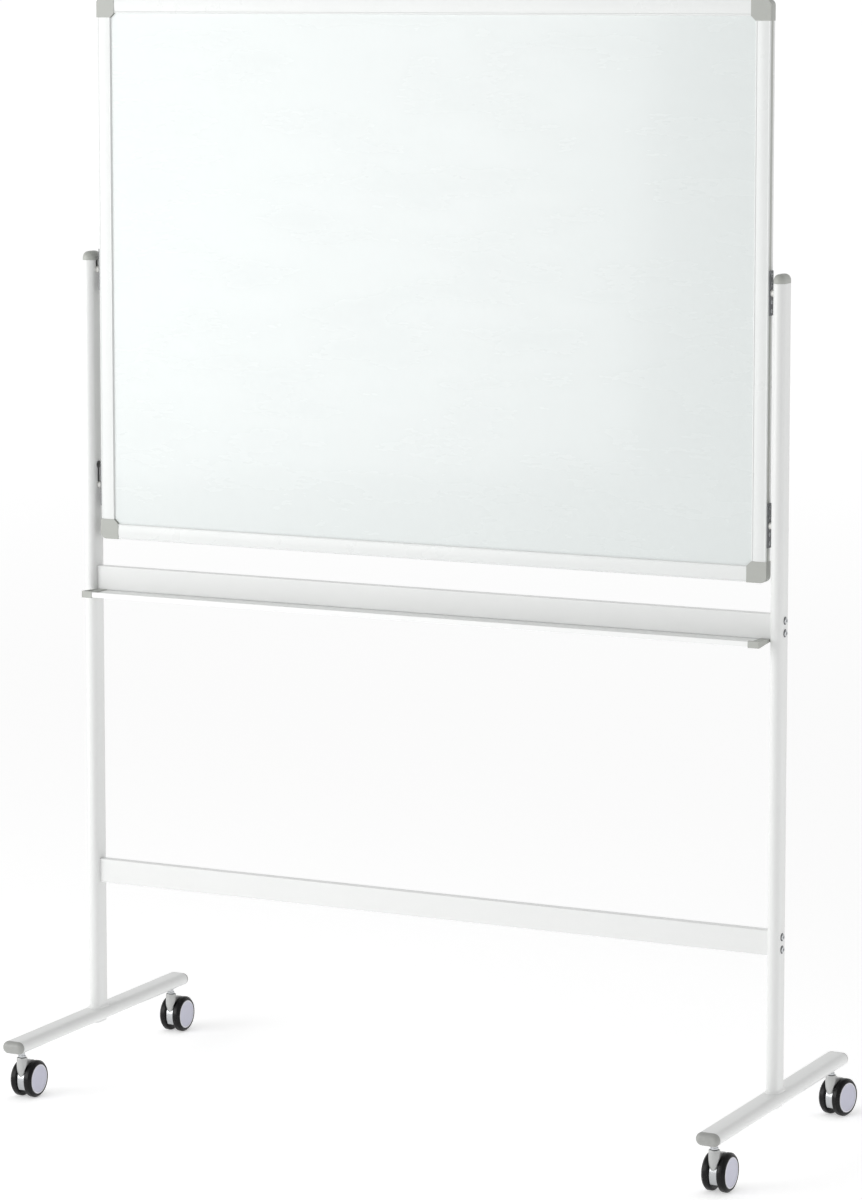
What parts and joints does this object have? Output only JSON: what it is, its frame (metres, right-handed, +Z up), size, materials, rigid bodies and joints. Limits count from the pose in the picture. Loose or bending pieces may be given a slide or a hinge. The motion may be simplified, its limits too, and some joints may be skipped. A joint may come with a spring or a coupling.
{
  "type": "rolling whiteboard",
  "caption": "Rolling whiteboard: a framed steel writing board hung between the posts of a wheeled stand, with a pen tray and twin-wheel swivel casters.",
  "frame": {"origin": "on the floor, midway between the two posts and midway between the front and rear wheels' contact lines, 22 mm behind the plane of the posts", "axes": "+Z up, +X to the right as the writing face is read, +Y to the back, so the writing face looks along -Y"},
  "size_m": [1.2992, 0.5846, 1.8286],
  "materials": {
    "writing_steel": "glossy white enamel, very slightly cool",
    "paper_core": "brown honeycomb board",
    "back_steel": "plain galvanised",
    "frame_paint": "smooth satin white",
    "grey_caps": "moulded satin grey",
    "dark_steel": "dark zinc plated",
    "screw_steel": "bright zinc plated",
    "white_plastic": "moulded white",
    "stand_paint": "satin white powder coat",
    "foot_cap_plastic": "moulded light grey",
    "plug_plastic": "moulded black",
    "bolt_steel": "nickel plated",
    "tray_paint": "smooth satin white",
    "screw_white": "white painted screw heads",
    "caster_grey": "moulded satin light grey",
    "wheel_black": "smooth black tread",
    "disc_lilac": "moulded lilac grey"
  },
  "bodies": {
    "stand": {"post_left": "stand_paint", "post_right": "stand_paint", "post_caps": "grey_caps", "foot_left": "stand_paint", "foot_right": "stand_paint", "foot_caps": "foot_cap_plastic", "upper_rail": "stand_paint", "lower_rail": "stand_paint", "rail_plugs": "plug_plastic", "rail_bolts": "bolt_steel", "pen_tray": "tray_paint", "tray_cap_left": "grey_caps", "tray_cap_right": "grey_caps", "tray_screws": "screw_white", "base_plugs": "dark_steel", "base_bolts": "bolt_steel", "base_pads": "stand_paint", "caster_stems": "bolt_steel", "caster_sockets": "dark_steel"},
    "board": {"writing_sheet": "writing_steel", "board_core": "paper_core", "back_sheet": "back_steel", "frame_top": "frame_paint", "frame_bottom": "frame_paint", "frame_left": "frame_paint", "frame_right": "frame_paint", "corner_caps": "grey_caps", "hang_plates": "dark_steel", "plate_screws": "screw_steel", "hang_studs": "screw_steel", "stud_spacers": "white_plastic"},
    "front_left_caster": {"front_left_caster_housing": "caster_grey", "front_left_caster_axle": "bolt_steel"},
    "front_left_left_wheel": {"front_left_caster_wheel_left": "wheel_black", "front_left_caster_disc_left": "disc_lilac"},
    "front_left_right_wheel": {"front_left_caster_wheel_right": "wheel_black", "front_left_caster_disc_right": "disc_lilac"},
    "front_right_caster": {"front_right_caster_housing": "caster_grey", "front_right_caster_axle": "bolt_steel"},
    "front_right_left_wheel": {"front_right_caster_wheel_left": "wheel_black", "front_right_caster_disc_left": "disc_lilac"},
    "front_right_right_wheel": {"front_right_caster_wheel_right": "wheel_black", "front_right_caster_disc_right": "disc_lilac"},
    "rear_left_caster": {"rear_left_caster_housing": "caster_grey", "rear_left_caster_axle": "bolt_steel"},
    "rear_left_left_wheel": {"rear_left_caster_wheel_left": "wheel_black", "rear_left_caster_disc_left": "disc_lilac"},
    "rear_left_right_wheel": {"rear_left_caster_wheel_right": "wheel_black", "rear_left_caster_disc_right": "disc_lilac"},
    "rear_right_caster": {"rear_right_caster_housing": "caster_grey", "rear_right_caster_axle": "bolt_steel"},
    "rear_right_left_wheel": {"rear_right_caster_wheel_left": "wheel_black", "rear_right_caster_disc_left": "disc_lilac"},
    "rear_right_right_wheel": {"rear_right_caster_wheel_right": "wheel_black", "rear_right_caster_disc_right": "disc_lilac"}
  },
  "joints": [
    {"name": "board_lift", "type": "slide", "parent": "stand", "child": "board", "axis": [0, 0, 1], "range_m": [0, 0.01]},
    {"name": "front_left_swivel", "type": "hinge", "parent": "stand", "child": "front_left_caster", "pos_m": [-0.6245, -0.27, 0.06], "axis": [0, 0, 1], "continuous": true},
    {"name": "front_left_left_roll", "type": "hinge", "parent": "front_left_caster", "child": "front_left_left_wheel", "pos_m": [-0.6245, -0.248, 0.031], "axis": [1, 0, 0], "continuous": true},
    {"name": "front_left_right_roll", "type": "hinge", "parent": "front_left_caster", "child": "front_left_right_wheel", "pos_m": [-0.6245, -0.248, 0.031], "axis": [1, 0, 0], "continuous": true},
    {"name": "front_right_swivel", "type": "hinge", "parent": "stand", "child": "front_right_caster", "pos_m": [0.6245, -0.27, 0.06], "axis": [0, 0, 1], "continuous": true},
    {"name": "front_right_left_roll", "type": "hinge", "parent": "front_right_caster", "child": "front_right_left_wheel", "pos_m": [0.62527, -0.24801, 0.031], "axis": [0.9994, -0.0349, 0], "continuous": true},
    {"name": "front_right_right_roll", "type": "hinge", "parent": "front_right_caster", "child": "front_right_right_wheel", "pos_m": [0.62527, -0.24801, 0.031], "axis": [0.9994, -0.0349, 0], "continuous": true},
    {"name": "rear_left_swivel", "type": "hinge", "parent": "stand", "child": "rear_left_caster", "pos_m": [-0.6245, 0.226, 0.06], "axis": [0, 0, 1], "continuous": true},
    {"name": "rear_left_left_roll", "type": "hinge", "parent": "rear_left_caster", "child": "rear_left_left_wheel", "pos_m": [-0.6245, 0.248, 0.031], "axis": [1, 0, 0], "continuous": true},
    {"name": "rear_left_right_roll", "type": "hinge", "parent": "rear_left_caster", "child": "rear_left_right_wheel", "pos_m": [-0.6245, 0.248, 0.031], "axis": [1, 0, 0], "continuous": true},
    {"name": "rear_right_swivel", "type": "hinge", "parent": "stand", "child": "rear_right_caster", "pos_m": [0.6245, 0.226, 0.06], "axis": [0, 0, 1], "continuous": true},
    {"name": "rear_right_left_roll", "type": "hinge", "parent": "rear_right_caster", "child": "rear_right_left_wheel", "pos_m": [0.62907, 0.24752, 0.031], "axis": [0.9781, -0.2079, 0], "continuous": true},
    {"name": "rear_right_right_roll", "type": "hinge", "parent": "rear_right_caster", "child": "rear_right_right_wheel", "pos_m": [0.62907, 0.24752, 0.031], "axis": [0.9781, -0.2079, 0], "continuous": true}
  ]
}
